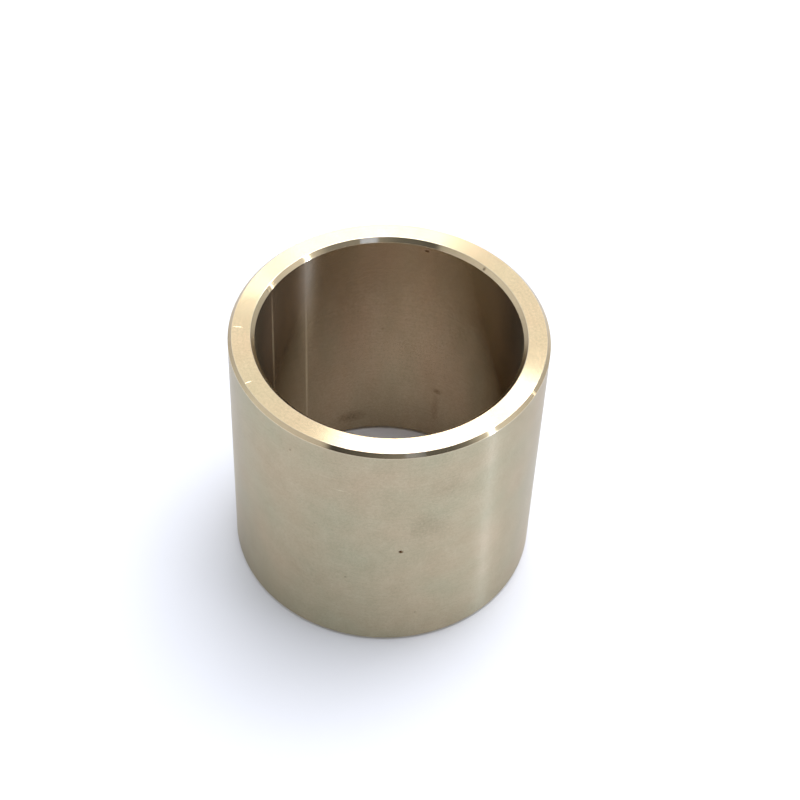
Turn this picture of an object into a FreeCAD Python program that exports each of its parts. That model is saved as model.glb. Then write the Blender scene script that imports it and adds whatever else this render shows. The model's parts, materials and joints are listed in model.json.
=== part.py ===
import FreeCAD, Part
import os

# Plain cylindrical bronze sleeve bushing: one machined ring with a through bore, two faced ends and a
# 45 degree chamfer on each of its four rims. It has no flange, oil groove, grease hole or split line.
#
# Frame: the axis is +Z, and the origin is the centre of the lower end face, so the sleeve stands on Z = 0.
# Both ends are alike, so either one can go into the housing first.

# Driving dimensions, millimetres
BORE_DIAMETER = 50.0       # running surface, where the shaft turns
OUTSIDE_DIAMETER = 60.0    # seat, pressed into the housing
LENGTH = 56.0              # between the two faced ends
BORE_CHAMFER = 0.8         # lead-in for the shaft at each mouth of the bore
OUTSIDE_CHAMFER = 0.7      # lead for pressing in, at each end of the outside

BORE_RADIUS = BORE_DIAMETER / 2
OUTSIDE_RADIUS = OUTSIDE_DIAMETER / 2

ORIGIN = FreeCAD.Vector(0, 0, 0)
AXIS = FreeCAD.Vector(0, 0, 1)
FULL_TURN = 360


def wall_section():
    """The wall's half section as (radius, height) corners, anticlockwise from the foot of the bore."""
    return [
        (BORE_RADIUS + BORE_CHAMFER, 0),
        (OUTSIDE_RADIUS - OUTSIDE_CHAMFER, 0),
        (OUTSIDE_RADIUS, OUTSIDE_CHAMFER),
        (OUTSIDE_RADIUS, LENGTH - OUTSIDE_CHAMFER),
        (OUTSIDE_RADIUS - OUTSIDE_CHAMFER, LENGTH),
        (BORE_RADIUS + BORE_CHAMFER, LENGTH),
        (BORE_RADIUS, LENGTH - BORE_CHAMFER),
        (BORE_RADIUS, BORE_CHAMFER),
    ]


def make_sleeve():
    """The sleeve: its wall section turned once about the axis."""
    corners = [FreeCAD.Vector(radius, 0, height) for radius, height in wall_section()]
    outline = Part.makePolygon(corners + corners[:1])
    return Part.Face(outline).revolve(ORIGIN, AXIS, FULL_TURN)


NODES = {
    "sleeve": make_sleeve(),
}

os.makedirs("parts", exist_ok=True)
for node, shape in NODES.items():
    if not shape.isValid() or len(shape.Solids) != 1:
        raise ValueError(node + " is not one valid solid")
    shape.exportStep("parts/" + node + ".step")
    print(node, "volume", round(shape.Volume, 1), "mm3, box", shape.BoundBox)
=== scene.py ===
import json
import math
from collections import namedtuple

import bpy
from mathutils import Matrix, Vector


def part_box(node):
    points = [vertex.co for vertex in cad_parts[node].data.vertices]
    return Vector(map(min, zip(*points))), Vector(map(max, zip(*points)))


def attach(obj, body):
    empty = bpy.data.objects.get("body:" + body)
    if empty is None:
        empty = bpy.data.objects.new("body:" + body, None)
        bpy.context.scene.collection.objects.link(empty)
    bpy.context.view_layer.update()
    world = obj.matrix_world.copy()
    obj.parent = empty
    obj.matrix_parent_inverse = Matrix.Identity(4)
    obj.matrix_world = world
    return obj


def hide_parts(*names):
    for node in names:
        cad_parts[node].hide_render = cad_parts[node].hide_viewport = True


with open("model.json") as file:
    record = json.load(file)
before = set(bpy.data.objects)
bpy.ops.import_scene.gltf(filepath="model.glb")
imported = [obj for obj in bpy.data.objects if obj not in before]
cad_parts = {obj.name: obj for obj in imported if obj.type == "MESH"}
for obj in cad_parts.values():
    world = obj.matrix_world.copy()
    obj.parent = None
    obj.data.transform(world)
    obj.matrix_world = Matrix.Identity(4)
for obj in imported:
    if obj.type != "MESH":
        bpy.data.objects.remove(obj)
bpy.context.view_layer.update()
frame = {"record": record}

# A bronze sleeve bushing: one turned ring with its machined finishes and small marks, on a pale table in a
# studio. It stands on its lower end with its axis on +Z. Its front, at azimuth -90 degrees, is towards -Y.
MM = 0.001

# ---------------------------------------------------------------- sizes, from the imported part
low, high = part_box("sleeve")
DIMS = {mount["name"]: mount["dims"] for mount in frame["record"]["mounts"]}
LENGTH = high.z - low.z
BORE_RADIUS = DIMS["bore"]["r_mm"] * MM
OUTSIDE_RADIUS = DIMS["outside"]["r_mm"] * MM
BORE_CHAMFER = (LENGTH - DIMS["bore"]["length_mm"] * MM) / 2
OUTSIDE_CHAMFER = (LENGTH - DIMS["outside"]["length_mm"] * MM) / 2

# ---------------------------------------------------------------- how fine the mesh is
EDGE_BREAK = 0.05 * MM      # each machined corner is rounded by this much along both sides
ARC_STEPS = 4               # faces across one rounded corner
SUPPORT = 0.05 * MM         # a loop this far from each rounded corner keeps the flats flat
WALL_STEP = 2.0 * MM        # between rings, up the two walls
FACE_STEP = 0.8 * MM        # between rings, across the ends and the chamfers
TURN_STEPS = 216            # lines up the sleeve, before the extra ones at the marks
MARK_STEPS = 4              # extra lines on each side of a mark's middle
MARK_REACH = 1.3            # how far out they go, over the mark's half length
MARK_CLEAR = 1.1            # how far out the even lines are left out, over that reach
FINE = 2.0                  # a mark whose half length is over this, in mm, needs no extra lines

# ---------------------------------------------------------------- what the surface is made up of
# The sides of the wall's section, anticlockwise from the foot of the bore
ZONES = ["lower_end", "chamfer", "outside", "chamfer", "upper_end", "chamfer", "bore", "chamfer"]
WALLS = ("outside", "bore")
# The sleeve's material slots, in order, and the one that each side and rounded corner takes
FINISHES = ["end", "chamfer", "edge", "outside", "bore"]
FINISH_OF = {
    "lower_end": "end", "upper_end": "end", "chamfer": "chamfer",
    "edge": "edge", "outside": "outside", "bore": "bore",
}

# Small handling and casting marks, and two painted highlights. The azimuth is in degrees, and the distance,
# the half lengths around and along, and the depth are in mm. The distance is the height on a wall, and the
# radius on an end or chamfer. A stain and highlight value over 0 darkens the colour as a stain, and one
# under 0
# lightens it: the small bright marks, and the two long lines up the bore, which are painted highlights
# where the upright lights' streaks fall. A mark with no depth only changes the colour, and one that isn't
# on a wall is on the upper half.
Mark = namedtuple("Mark", "zone azimuth distance around along depth stain")
MARKS = [Mark(*values) for values in [
    ("outside", -82.3, 28.4, 0.58, 0.52, 0.12, 1.5),
    ("outside", -102.1, 19.3, 0.26, 0.24, 0.05, 0.6),
    ("outside", -75.8, 8.6, 0.26, 0.24, 0.05, 0.5),
    ("outside", -114.0, 32.9, 0.24, 0.24, 0.04, 0.4),
    ("outside", -123.8, 50.6, 0.34, 0.40, 0.02, 0.5),
    ("outside", -72.0, 36.8, 4.20, 3.20, 0.0, 0.13),
    ("outside", -68.5, 34.0, 3.60, 2.60, 0.0, 0.10),
    ("outside", -76.5, 33.6, 2.80, 3.00, 0.0, 0.09),
    ("outside", -66.0, 45.5, 4.50, 3.50, 0.0, 0.08),
    ("outside", -117.0, 17.0, 5.00, 4.00, 0.0, 0.06),
    ("outside", -104.3, 44.8, 0.90, 0.16, 0.02, -0.5),
    ("outside", -100.9, 44.5, 0.50, 0.14, 0.02, -0.35),
    ("outside", 38.0, 36.5, 0.34, 0.30, 0.08, 0.9),
    ("outside", 151.0, 14.0, 0.30, 0.34, 0.06, 0.7),
    ("outside", 96.0, 47.5, 0.22, 1.10, 0.02, -0.4),
    ("upper_end", -179.2, 28.1, 0.07, 1.00, 0.03, -0.7),
    ("upper_end", -150.6, 28.7, 0.07, 0.80, 0.03, -0.6),
    ("chamfer", 46.5, 25.4, 0.35, 0.30, 0.10, 0.6),
    ("chamfer", 157.2, 25.4, 0.30, 0.28, 0.06, 0.4),
    ("bore", 75.2, 54.2, 0.55, 0.34, 0.08, 1.0),
    ("bore", 66.0, 15.0, 1.20, 0.90, 0.0, 0.42),
    ("bore", 66.4, 9.6, 1.00, 4.60, 0.0, 0.25),
    ("bore", 108.0, 4.8, 3.60, 1.90, 0.0, 0.36),
    ("bore", 94.0, 31.0, 0.40, 0.50, 0.0, 0.3),
    # Painted highlight: a long bright line up the bore, where strip_behind_right's thin streak falls
    ("bore", 155.4, 38.0, 0.42, 20.0, 0.0, -1.9),
    # Painted highlight: a long bright line up the bore, along strip_right's streak
    ("bore", 132.4, 24.0, 0.34, 24.0, 0.0, -0.8),
]]


# ---------------------------------------------------------------- the sleeve's mesh
def corners():
    """The wall section's corners as (radius, height), anticlockwise from the foot of the bore."""
    inner, outer = BORE_RADIUS + BORE_CHAMFER, OUTSIDE_RADIUS - OUTSIDE_CHAMFER
    return [
        Vector((inner, 0)),
        Vector((outer, 0)),
        Vector((OUTSIDE_RADIUS, OUTSIDE_CHAMFER)),
        Vector((OUTSIDE_RADIUS, LENGTH - OUTSIDE_CHAMFER)),
        Vector((outer, LENGTH)),
        Vector((inner, LENGTH)),
        Vector((BORE_RADIUS, LENGTH - BORE_CHAMFER)),
        Vector((BORE_RADIUS, BORE_CHAMFER)),
    ]


def spaced(start, end, step):
    """Even values from start to end, no further apart than step."""
    count = max(1, math.ceil(abs(end - start) / step))
    return [start + (end - start) * i / count for i in range(count + 1)]


def with_extra(values, middle, half):
    """The values, with a fine run of lines across a mark whose middle and half length are given."""
    reach = half * MARK_REACH
    fine = [middle + reach * i / MARK_STEPS for i in range(-MARK_STEPS, MARK_STEPS + 1)]
    coarse = [v for v in values if abs(v - middle) > reach * MARK_CLEAR]
    return sorted(coarse + fine)


def distance_along(zone, point):
    """What a mark's distance is measured as: the height on a wall, the radius elsewhere."""
    return point.y if zone in WALLS else point.x


def side_points(zone, start, end):
    """Points from start to end of one straight side of the section, finer where there are marks."""
    direction = (end - start).normalized()
    length = (end - start).length
    places = [0.0] + spaced(SUPPORT, length - SUPPORT, WALL_STEP if zone in WALLS else FACE_STEP) + [length]
    first, last = distance_along(zone, start) / MM, distance_along(zone, end) / MM
    for mark in MARKS:
        on_side = mark.zone == zone and min(first, last) < mark.distance < max(first, last)
        if on_side and mark.along <= FINE:
            middle = (mark.distance - first) / (last - first) * length
            places = with_extra(places, middle, mark.along * MM)
    places = [p for p in places if 0 < p < length]
    return [start] + [start + direction * p for p in places] + [end]


def section():
    """The whole wall section as (point, the zone of the side that starts there)."""
    rim = corners()
    count = len(rim)
    points = []
    for i, zone in enumerate(ZONES):
        here, there, beyond = rim[i], rim[(i + 1) % count], rim[(i + 2) % count]
        along = (there - here).normalized()
        onward = (beyond - there).normalized()
        straight = side_points(zone, here + along * EDGE_BREAK, there - along * EDGE_BREAK)
        points += [(p, zone) for p in straight[:-1]] + [(straight[-1], "edge")]
        first, last = there - along * EDGE_BREAK, there + onward * EDGE_BREAK
        for step in range(1, ARC_STEPS):
            t = step / ARC_STEPS
            curve = first * (1 - t) ** 2 + there * 2 * t * (1 - t) + last * t ** 2
            points.append((curve, "edge"))
    return points


def wrapped(degrees):
    """The same azimuth, from -180 up to 180."""
    return (degrees + 180) % 360 - 180


def azimuths():
    """The azimuths of the mesh's lines up the sleeve, in degrees, finer where there are marks."""
    lines = [-180 + 360 * i / TURN_STEPS for i in range(TURN_STEPS)]
    for mark in MARKS:
        if mark.around > FINE:
            continue
        radius = OUTSIDE_RADIUS / MM if mark.zone in WALLS else mark.distance
        half = math.degrees(mark.around / radius)
        middle = mark.azimuth if mark.azimuth - 2 * half > -180 else mark.azimuth + 360
        lines = with_extra(lines, middle, half)
    return sorted({round(wrapped(line), 6) for line in lines})


def marked(zone, azimuth, distance, radius):
    """How far this zone's marks sink the surface at a point, in metres, and how they stain it or add
    painted highlights.
    """
    sunk, stain_and_highlight_amount = 0.0, 0.0
    for mark in MARKS:
        if mark.zone != zone:
            continue
        across = math.radians(wrapped(azimuth - mark.azimuth)) * radius / MM / mark.around
        up = (distance / MM - mark.distance) / mark.along
        reach = across * across + up * up
        if reach < 1:
            sunk += mark.depth * MM * (1 - reach) ** 2
            stain_and_highlight_amount += mark.stain * (1 - reach)
    return sunk, stain_and_highlight_amount


def inward(zone, point):
    """The direction into the metal at a point of the section, as (radius, height)."""
    if zone == "outside":
        return Vector((-1, 0))
    if zone == "bore":
        return Vector((1, 0))
    rise = -1 if point.y > LENGTH / 2 else 1
    if zone in ("upper_end", "lower_end"):
        return Vector((0, rise))
    lean = 1 if point.x < (BORE_RADIUS + OUTSIDE_RADIUS) / 2 else -1
    return Vector((lean, rise)).normalized()


def make_sleeve():
    """The turned ring, its section carried round the axis line by line, with the marks cut in."""
    outline = section()
    turns = azimuths()
    vertices, stains_and_highlights, faces, finishes = [], [], [], []
    for azimuth in turns:
        angle = math.radians(azimuth)
        for point, zone in outline:
            place = zone if point.y > LENGTH / 2 or zone in WALLS else "unmarked"
            depth, stain = marked(place, azimuth, distance_along(zone, point), point.x)
            sunk = point + inward(zone, point) * depth
            vertices.append((sunk.x * math.cos(angle), sunk.x * math.sin(angle), sunk.y))
            stains_and_highlights.append(stain)
    rows, columns = len(turns), len(outline)
    for i in range(rows):
        for j in range(columns):
            k, m = (i + 1) % rows, (j + 1) % columns
            faces.append((i * columns + j, k * columns + j, k * columns + m, i * columns + m))
            finishes.append(FINISHES.index(FINISH_OF[outline[j][1]]))
    mesh = bpy.data.meshes.new("turned_sleeve")
    mesh.from_pydata(vertices, [], faces)
    mesh.polygons.foreach_set("material_index", finishes)
    mesh.polygons.foreach_set("use_smooth", [True] * len(faces))
    mesh.attributes.new("stain", "FLOAT", "POINT").data.foreach_set("value", stains_and_highlights)
    mesh.update()
    piece = bpy.data.objects.new("turned_sleeve", mesh)
    bpy.context.scene.collection.objects.link(piece)
    return piece


# ---------------------------------------------------------------- materials
# The patterns in the metal, as (cells to a metre, octaves). The grain's size is each finish's own.
CLOUDS = (85, 4)
BLOTCHES = (260, 4)
GRAIN_OCTAVES = 3
RINGS = (1900, 3)
COARSE_RINGS = (420, 2)

# What each pattern at full strength multiplies the metal's colour by, in red, green and blue
CLOUD_TINT = (1.32, 1.0, 0.98)
BLOTCH_TINT = (0.72, 0.74, 0.68)
GRAIN_TINT = (0.56, 0.57, 0.48)
RING_TINT = (0.93, 0.93, 0.92)
# Under 0, a mark's value lightens the colour instead of staining it: the bright marks, and the painted
# highlights up the bore
STAIN_AND_HIGHLIGHT_TINT = (0.30, 0.20, 0.13)

STAIN_AND_HIGHLIGHT_BLOTCHES = 1.2        # how much the blotches break up a stain or a painted highlight
STAIN_AND_HIGHLIGHT_GRAIN = 2.0           # how much the grain does
CLOUD_ROUGHNESS = 0.10      # how much the clouds change the roughness
RING_ROUGHNESS = 0.03       # how much the rings do
FINE_RINGS = 0.12           # the fine rings' height, over the coarse ones'
RING_DEPTH = 0.0008 * MM    # how deep the tool's rings are
SMEAR_TURN = 0.25           # in turns: reflections stay sharp round the axis, and smear along the wall


def new_material(name):
    """A node material with a Principled shader, as (material, its nodes, its links, the shader)."""
    material = bpy.data.materials.new(name)
    material.use_nodes = True
    nodes, links = material.node_tree.nodes, material.node_tree.links
    return material, nodes, links, nodes["Principled BSDF"]


def plug(links, value, socket):
    """Set a socket to a value, which is a number or another node's output."""
    if isinstance(value, (int, float)):
        socket.default_value = value
    else:
        links.new(value, socket)


def calculate(nodes, links, operation, *values):
    """A math node's output, with each of its values either a number or a socket."""
    node = nodes.new("ShaderNodeMath")
    node.operation = operation
    for socket, value in zip(node.inputs, values):
        plug(links, value, socket)
    return node.outputs[0]


def noise(nodes, links, vector, pattern, dimensions="3D"):
    """A noise texture's value, centred on zero. In 1D the vector is a single number."""
    scale, octaves = pattern
    texture = nodes.new("ShaderNodeTexNoise")
    texture.noise_dimensions = dimensions
    texture.inputs["Scale"].default_value = scale
    texture.inputs["Detail"].default_value = octaves
    links.new(vector, texture.inputs["W" if dimensions == "1D" else "Vector"])
    return calculate(nodes, links, "SUBTRACT", texture.outputs[0], 0.5)


def tint(nodes, links, colour, amount, towards):
    """The colour, multiplied by towards where amount is 1, and changed as much the other way at -1."""
    change = nodes.new("ShaderNodeVectorMath")
    change.operation = "MULTIPLY_ADD"
    links.new(amount, change.inputs[0])
    change.inputs[1].default_value = [channel - 1 for channel in towards]
    change.inputs[2].default_value = (1, 1, 1)
    product = nodes.new("ShaderNodeVectorMath")
    product.operation = "MULTIPLY"
    if isinstance(colour, tuple):
        product.inputs[0].default_value = colour
    else:
        links.new(colour, product.inputs[0])
    links.new(change.outputs[0], product.inputs[1])
    return product.outputs[0]


def distance_from_axis(nodes, links, split):
    """How far a point is from the sleeve's axis, from its separated place."""
    squares = [calculate(nodes, links, "POWER", split.outputs[axis], 2.0) for axis in ("X", "Y")]
    return calculate(nodes, links, "SQRT", calculate(nodes, links, "ADD", *squares))


def patterns(nodes, links, feed, grain_size, stretch):
    """The clouds, blotches, grain, rings and coarse rings in the metal, each centred on zero."""
    place = nodes.new("ShaderNodeTexCoord").outputs["Object"]
    split = nodes.new("ShaderNodeSeparateXYZ")
    links.new(place, split.inputs[0])
    squash = nodes.new("ShaderNodeVectorMath")
    squash.operation = "MULTIPLY"
    squash.inputs[1].default_value = (1, 1, 1 / stretch)
    links.new(place, squash.inputs[0])
    travel = split.outputs["Z"] if feed == "along" else distance_from_axis(nodes, links, split)
    return (
        noise(nodes, links, squash.outputs[0], CLOUDS),
        noise(nodes, links, squash.outputs[0], BLOTCHES),
        noise(nodes, links, place, (1 / grain_size, GRAIN_OCTAVES)),
        noise(nodes, links, travel, RINGS, "1D"),
        noise(nodes, links, travel, COARSE_RINGS, "1D"),
    )


def mottled(nodes, links, colour, mottle, clouds, blotches, grain, rings):
    """The metal's colour, with its patterns, and its stains and painted highlights over it."""
    for pattern, towards in ((clouds, CLOUD_TINT), (blotches, BLOTCH_TINT), (grain, GRAIN_TINT)):
        amount = calculate(nodes, links, "MULTIPLY", pattern, mottle)
        colour = tint(nodes, links, colour, amount, towards)
    colour = tint(nodes, links, colour, rings, RING_TINT)
    stain = nodes.new("ShaderNodeAttribute")
    stain.attribute_name = "stain"
    patchy = calculate(nodes, links, "MULTIPLY_ADD", blotches, STAIN_AND_HIGHLIGHT_BLOTCHES, 1.0)
    patchy = calculate(nodes, links, "MULTIPLY_ADD", grain, STAIN_AND_HIGHLIGHT_GRAIN, patchy)
    stain_and_highlight_amount = calculate(nodes, links, "MULTIPLY", stain.outputs["Fac"], patchy)
    return tint(nodes, links, colour, stain_and_highlight_amount, STAIN_AND_HIGHLIGHT_TINT)


def ring_bump(nodes, links, rings, coarse_rings):
    """The surface's direction, tilted by the rings that the tool cut."""
    height = calculate(nodes, links, "MULTIPLY_ADD", rings, FINE_RINGS, coarse_rings)
    bump = nodes.new("ShaderNodeBump")
    bump.inputs["Strength"].default_value = 1
    bump.inputs["Distance"].default_value = RING_DEPTH
    links.new(height, bump.inputs["Height"])
    return bump.outputs["Normal"]


def bronze(name, colour, roughness, feed, mottle, grain_size, stretch=1.0, grazing=(1, 1, 1)):
    """Bare turned bronze. The tool's marks run round the axis, so light smears across them.

    feed is the way the tool travelled, "along" or "across" the axis, which spaces its ring marks. mottle is
    how strongly the surface is clouded, grain_size the size of its specks in metres, and stretch how much
    longer the clouds are up the wall. grazing tints the surface where it is seen edge on.
    """
    material, nodes, links, shader = new_material(name)
    shader.inputs["Metallic"].default_value = 1
    shader.inputs["Specular Tint"].default_value = (*grazing, 1)
    shader.inputs["Anisotropic"].default_value = 1
    shader.inputs["Anisotropic Rotation"].default_value = SMEAR_TURN
    tangent = nodes.new("ShaderNodeTangent")
    tangent.direction_type = "RADIAL"
    tangent.axis = "Z"
    links.new(tangent.outputs["Tangent"], shader.inputs["Tangent"])

    clouds, blotches, grain, rings, coarse_rings = patterns(nodes, links, feed, grain_size, stretch)
    metal = mottled(nodes, links, colour, mottle, clouds, blotches, grain, rings)
    links.new(metal, shader.inputs["Base Color"])
    spread = calculate(nodes, links, "MULTIPLY_ADD", clouds, CLOUD_ROUGHNESS * mottle, roughness)
    spread = calculate(nodes, links, "MULTIPLY_ADD", rings, RING_ROUGHNESS, spread)
    links.new(spread, shader.inputs["Roughness"])
    links.new(ring_bump(nodes, links, rings, coarse_rings), shader.inputs["Normal"])
    return material


FINISH = {
    # The ends take the bronze made far lighter than the walls': painted light on the top face, which the
    # overhead lights make bright
    "end": bronze(
        "faced_bronze_painted_lighter", (0.745, 0.575, 0.345), roughness=0.25, feed="across", mottle=0.6,
        grain_size=0.5 * MM),
    "chamfer": bronze(
        "chamfered_bronze", (0.46, 0.368, 0.232), roughness=0.12, feed="along", mottle=0.3,
        grain_size=0.8 * MM),
    # Painted highlight: the rounded corners take a lighter bronze than the chamfers, so that they show as
    # thin bright glints
    "edge": bronze(
        "edge_bronze_painted_glint", (0.75, 0.62, 0.43), roughness=0.2, feed="along", mottle=0.3,
        grain_size=0.8 * MM),
    "outside": bronze(
        "turned_bronze", (0.437, 0.382, 0.26), roughness=0.21, feed="along", mottle=0.8,
        grain_size=0.45 * MM, grazing=(0.79, 0.76, 0.74)),
    # The bore's near-black grazing tint is painted shade: it darkens the bore's sides, which are seen edge
    # on, where shade falls
    "bore": bronze(
        "bored_bronze", (0.46, 0.353, 0.228), roughness=0.245, feed="along", mottle=1.0,
        grain_size=0.5 * MM, stretch=3.0, grazing=(0.14, 0.12, 0.11)),
}

sleeve = make_sleeve()
for name in FINISHES:
    sleeve.data.materials.append(FINISH[name])
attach(sleeve, "root")
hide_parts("sleeve")


# ---------------------------------------------------------------- the floor
FLOOR_HALF = 2.5                # metres, far past the view
FLOOR_COLOUR = (0.76, 0.76, 0.77)
FLOOR_ROUGHNESS = 0.6


def make_floor():
    """A plain pale table top."""
    mesh = bpy.data.meshes.new("floor")
    signs = [(-1, -1), (1, -1), (1, 1), (-1, 1)]
    mesh.from_pydata([(x * FLOOR_HALF, y * FLOOR_HALF, 0) for x, y in signs], [], [(0, 1, 2, 3)])
    floor = bpy.data.objects.new("floor", mesh)
    bpy.context.scene.collection.objects.link(floor)
    material, nodes, links, shader = new_material("pale_table")
    shader.inputs["Base Color"].default_value = (*FLOOR_COLOUR, 1)
    shader.inputs["Roughness"].default_value = FLOOR_ROUGHNESS
    mesh.materials.append(material)


# ---------------------------------------------------------------- the lights
CEILING = 1.5                   # metres from the top of the sleeve up to the level lights
CEILING_COLOUR = (0.98, 1.0, 1.1)
UPRIGHT_DISTANCE = 1.5          # metres from the top of the sleeve to both ends of an upright light


def direction(azimuth, elevation):
    """The unit vector at that azimuth, in degrees from +X towards +Y, and elevation."""
    a, e = math.radians(azimuth), math.radians(elevation)
    return Vector((math.cos(a) * math.cos(e), math.sin(a) * math.cos(e), math.sin(e)))


def area_light(name, size, brightness, colour):
    """A rectangular light that shines that bright, whatever its size."""
    data = bpy.data.lights.new(name, "AREA")
    data.shape = "RECTANGLE"
    data.size, data.size_y = size
    data.energy = brightness * math.pi * size[0] * size[1]
    data.color = colour
    light = bpy.data.objects.new(name, data)
    light.visible_camera = False
    bpy.context.scene.collection.objects.link(light)
    return light


def level_light(name, middle, size, turn, brightness):
    """A light hung level at the ceiling. Its middle and size are over CEILING, its turn in degrees."""
    light = area_light(name, [side * CEILING for side in size], brightness, CEILING_COLOUR)
    light.location = Vector((middle[0] * CEILING, middle[1] * CEILING, CEILING + LENGTH))
    light.rotation_euler = (0, 0, math.radians(turn))


def upright_light(name, foot, top, width, brightness, colour):
    """An upright light that the metal mirrors. It doesn't light the floor, where its shadow would be hard.

    Its foot and top are (azimuth, elevation) seen from the top of the sleeve, and its width is in degrees.
    """
    low_end, high_end = direction(*foot) * UPRIGHT_DISTANCE, direction(*top) * UPRIGHT_DISTANCE
    size = (UPRIGHT_DISTANCE * math.radians(width), (high_end - low_end).length)
    light = area_light(name, size, brightness, colour)
    light.visible_diffuse = False
    middle = (low_end + high_end) / 2
    up = (high_end - low_end).normalized()
    away = (middle - up * middle.dot(up)).normalized()
    facing = Matrix((up.cross(away), up, away)).transposed().to_4x4()
    light.matrix_world = Matrix.Translation(middle + Vector((0, 0, LENGTH))) @ facing


# ---------------------------------------------------------------- the room
# The studio that the metal mirrors, as (azimuth in degrees, brightness) stops at table height, at eye
# height and overhead. The camera and its operator make the dark stretch in front.
TABLE_HEIGHT = [
    (-180, 1.1), (-100, 0.9), (35, 0.95), (60, 0.75), (100, 0.48), (125, 0.65), (140, 0.95), (180, 1.1),
]
EYE_HEIGHT = [
    (-180, 1.3), (-130, 1.05), (-125, 0.05), (-70, 0.4), (-60, 0.13), (-45, 0.17), (-35, 0.35), (-20, 1.4),
    (-10, 1.4), (20, 1.1), (35, 0.9), (50, 0.95), (95, 1.55), (125, 0.9), (145, 1.2), (180, 1.3),
]
OVERHEAD = [
    (-180, 0.6), (-135, 0.55), (-125, 0.3), (-95, 0.25), (-80, 0.5), (-50, 0.9), (0, 1.1), (95, 1.15),
    (115, 0.9), (135, 0.7), (180, 0.6),
]
ZENITH = 1.9                    # the brightness straight up
# Each level of the room passes into the next between these elevations, in degrees
TABLE_TO_EYE = (12, 20)
EYE_TO_OVERHEAD = (38, 52)
OVERHEAD_TO_ZENITH = (70, 80)
PEAK = 4.0                      # a ramp's colours are brightness over this
ROOM_TINT = (0.96, 1.0, 1.08)
BACKDROP = (1.0, 1.0, 1.0)


def blend(nodes, links, rise, elevations, below, above):
    """A value that passes smoothly from below to above, as the direction rises between two elevations."""
    node = nodes.new("ShaderNodeMapRange")
    node.interpolation_type = "SMOOTHSTEP"
    start, end = [math.sin(math.radians(elevation)) for elevation in elevations]
    settings = {"Value": rise, "From Min": start, "From Max": end, "To Min": below, "To Max": above}
    for name, setting in settings.items():
        plug(links, setting, node.inputs[name])
    return node.outputs["Result"]


def round_the_room(nodes, links, turn, stops):
    """The brightness over PEAK at each azimuth, given as a fraction of a turn from -180 degrees."""
    ramp = nodes.new("ShaderNodeValToRGB")
    elements = ramp.color_ramp.elements
    while len(elements) < len(stops):
        elements.new(0.5)
    for element, (azimuth, brightness) in zip(elements, stops):
        element.position = (azimuth + 180) / 360
        element.color = (brightness / PEAK, brightness / PEAK, brightness / PEAK, 1)
    links.new(turn, ramp.inputs[0])
    return ramp.outputs["Color"]


def make_world():
    """The studio: what the metal mirrors, and a plain pale backdrop for the camera."""
    world = bpy.data.worlds.new("studio")
    world.use_nodes = True
    nodes, links = world.node_tree.nodes, world.node_tree.links
    split = nodes.new("ShaderNodeSeparateXYZ")
    links.new(nodes.new("ShaderNodeTexCoord").outputs["Generated"], split.inputs[0])
    around = calculate(nodes, links, "ARCTAN2", split.outputs["Y"], split.outputs["X"])
    turn = nodes.new("ShaderNodeMapRange")
    turn.inputs["From Min"].default_value = -math.pi
    turn.inputs["From Max"].default_value = math.pi
    links.new(around, turn.inputs["Value"])
    table, eye, overhead = [
        round_the_room(nodes, links, turn.outputs[0], stops)
        for stops in (TABLE_HEIGHT, EYE_HEIGHT, OVERHEAD)]
    rise = split.outputs["Z"]
    level = blend(nodes, links, rise, TABLE_TO_EYE, table, eye)
    level = blend(nodes, links, rise, EYE_TO_OVERHEAD, level, overhead)
    level = blend(nodes, links, rise, OVERHEAD_TO_ZENITH, level, ZENITH / PEAK)
    room = nodes["Background"]
    room.inputs["Color"].default_value = (*ROOM_TINT, 1)
    links.new(calculate(nodes, links, "MULTIPLY", level, PEAK), room.inputs["Strength"])
    plain = nodes.new("ShaderNodeBackground")
    plain.inputs["Color"].default_value = (*BACKDROP, 1)
    choose = nodes.new("ShaderNodeMixShader")
    links.new(nodes.new("ShaderNodeLightPath").outputs["Is Camera Ray"], choose.inputs[0])
    links.new(room.outputs[0], choose.inputs[1])
    links.new(plain.outputs[0], choose.inputs[2])
    links.new(choose.outputs[0], nodes["World Output"].inputs["Surface"])
    bpy.context.scene.world = world


# ---------------------------------------------------------------- the camera
CAMERA_ELEVATION = 48.24        # degrees over the horizon, from the front
CAMERA_ROLL = 2.72              # degrees about its own axis
CAMERA_DISTANCE = 0.361         # metres from the point that it faces
CAMERA_LENS = 84.33             # focal length in mm
CAMERA_TARGET = Vector((2.5 * MM, 0, 37.4 * MM))


def make_camera():
    """The camera: it looks down at the sleeve from the front, turned a little about its own axis."""
    data = bpy.data.cameras.new("camera")
    data.lens = CAMERA_LENS
    camera = bpy.data.objects.new("camera", data)
    bpy.context.scene.collection.objects.link(camera)
    back = direction(-90, CAMERA_ELEVATION)
    roll = Matrix.Rotation(math.radians(CAMERA_ROLL), 3, "Z").to_quaternion()
    camera.rotation_mode = "QUATERNION"
    camera.rotation_quaternion = back.to_track_quat("Z", "Y") @ roll
    camera.location = CAMERA_TARGET + back * CAMERA_DISTANCE
    bpy.context.scene.camera = camera


make_floor()
make_world()
level_light("ceiling_light", middle=(0.175, 0.28), size=(0.69, 0.78), turn=-15, brightness=4.5)
level_light("ceiling_light_right", middle=(0.645, 0.613), size=(0.91, 0.16), turn=-21, brightness=8)
upright_light("strip_right", foot=(-23.3, 6), top=(-20.4, 23), width=1.2, brightness=125,
              colour=(0.75, 0.91, 1.45))
upright_light("strip_right_upper", foot=(-20.4, 23), top=(-14.5, 42), width=1.2, brightness=120,
              colour=(0.85, 0.95, 1.0))
upright_light("strip_behind_right", foot=(14, 14), top=(17, 36), width=0.6, brightness=15,
              colour=(1.0, 1.0, 1.0))
upright_light("panel_front", foot=(-68, 42), top=(-68, 54), width=10, brightness=0.9,
              colour=(0.7, 1.0, 1.9))
make_camera()
bpy.context.scene.view_settings.view_transform = "Standard"
